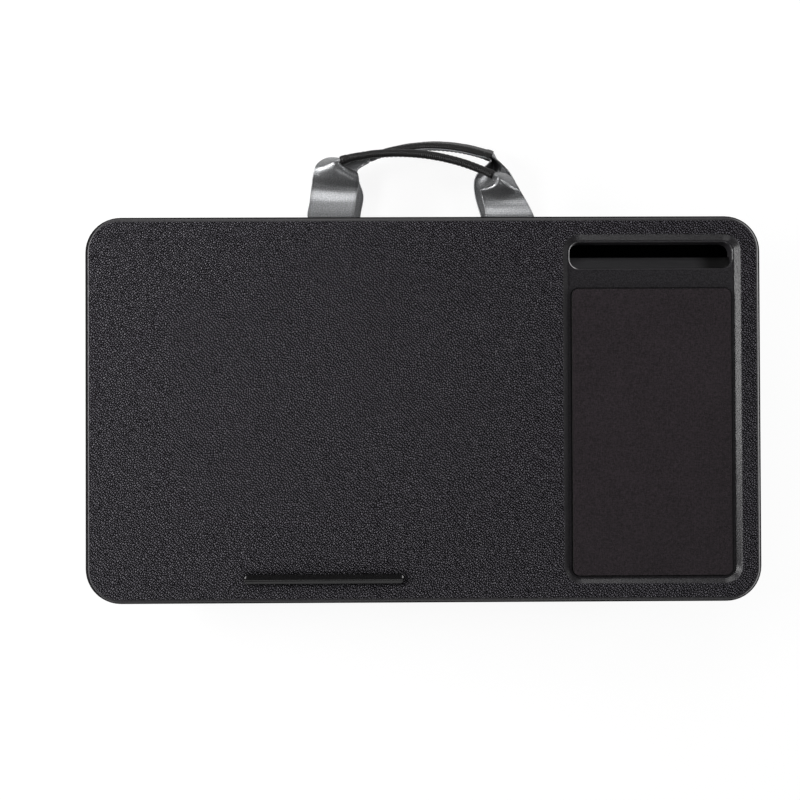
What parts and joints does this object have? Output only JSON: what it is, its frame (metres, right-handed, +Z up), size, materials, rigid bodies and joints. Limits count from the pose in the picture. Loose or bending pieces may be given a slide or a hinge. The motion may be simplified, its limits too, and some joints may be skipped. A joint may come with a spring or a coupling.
{
  "type": "lap desk",
  "caption": "Cushioned lap desk with a grained black top, recessed mouse pad, phone slot, device ledge and a pair of carrying loops at the rear edge.",
  "frame": {"origin": "under the middle of the board, on the flat face of the cushion that rests on the lap", "axes": "+X to the user's right along the board, +Y to the rear edge with the carrying loops, +Z up"},
  "size_m": [0.5334, 0.3827, 0.0844],
  "materials": {
    "board_plastic": "satin",
    "ledge_plastic": "gloss",
    "pad_cloth": "matte",
    "pad_foam": "matte",
    "tape": "satin",
    "foam_tape": "matte",
    "hardboard": "matte",
    "steel": "satin",
    "cushion_cloth": "matte",
    "piping": "matte",
    "filling": "matte",
    "webbing": "satin",
    "grip_cloth": "matte"
  },
  "bodies": {
    "desk": {"top_panel": "board_plastic", "back_plate": "hardboard", "plate_screws": "steel", "mouse_pad_tape": "tape", "mouse_pad_foam": "pad_foam", "mouse_pad_cloth": "pad_cloth", "device_ledge": "ledge_plastic", "ledge_screws": "steel", "cushion_tape": "foam_tape", "cushion_top_cloth": "cushion_cloth", "cushion_side_cloth": "cushion_cloth", "cushion_bottom_cloth": "cushion_cloth", "cushion_upper_piping": "piping", "cushion_lower_piping": "piping", "cushion_filling": "filling", "upper_handle_tails": "webbing", "upper_tail_staples": "steel", "lower_handle_tails": "webbing"},
    "upper_handle": {"upper_handle_webbing": "webbing", "upper_grip_sleeve": "grip_cloth"},
    "lower_handle": {"lower_handle_webbing": "webbing", "lower_grip_sleeve": "grip_cloth"}
  },
  "joints": [
    {"name": "upper_handle_swing", "type": "hinge", "parent": "desk", "child": "upper_handle", "pos_m": [0, 0.154, 0.057], "axis": [1, 0, 0], "range_deg": [-10, 70]},
    {"name": "lower_handle_swing", "type": "hinge", "parent": "desk", "child": "lower_handle", "pos_m": [0, 0.1456, 0.012], "axis": [1, 0, 0], "range_deg": [-90, 10]}
  ]
}
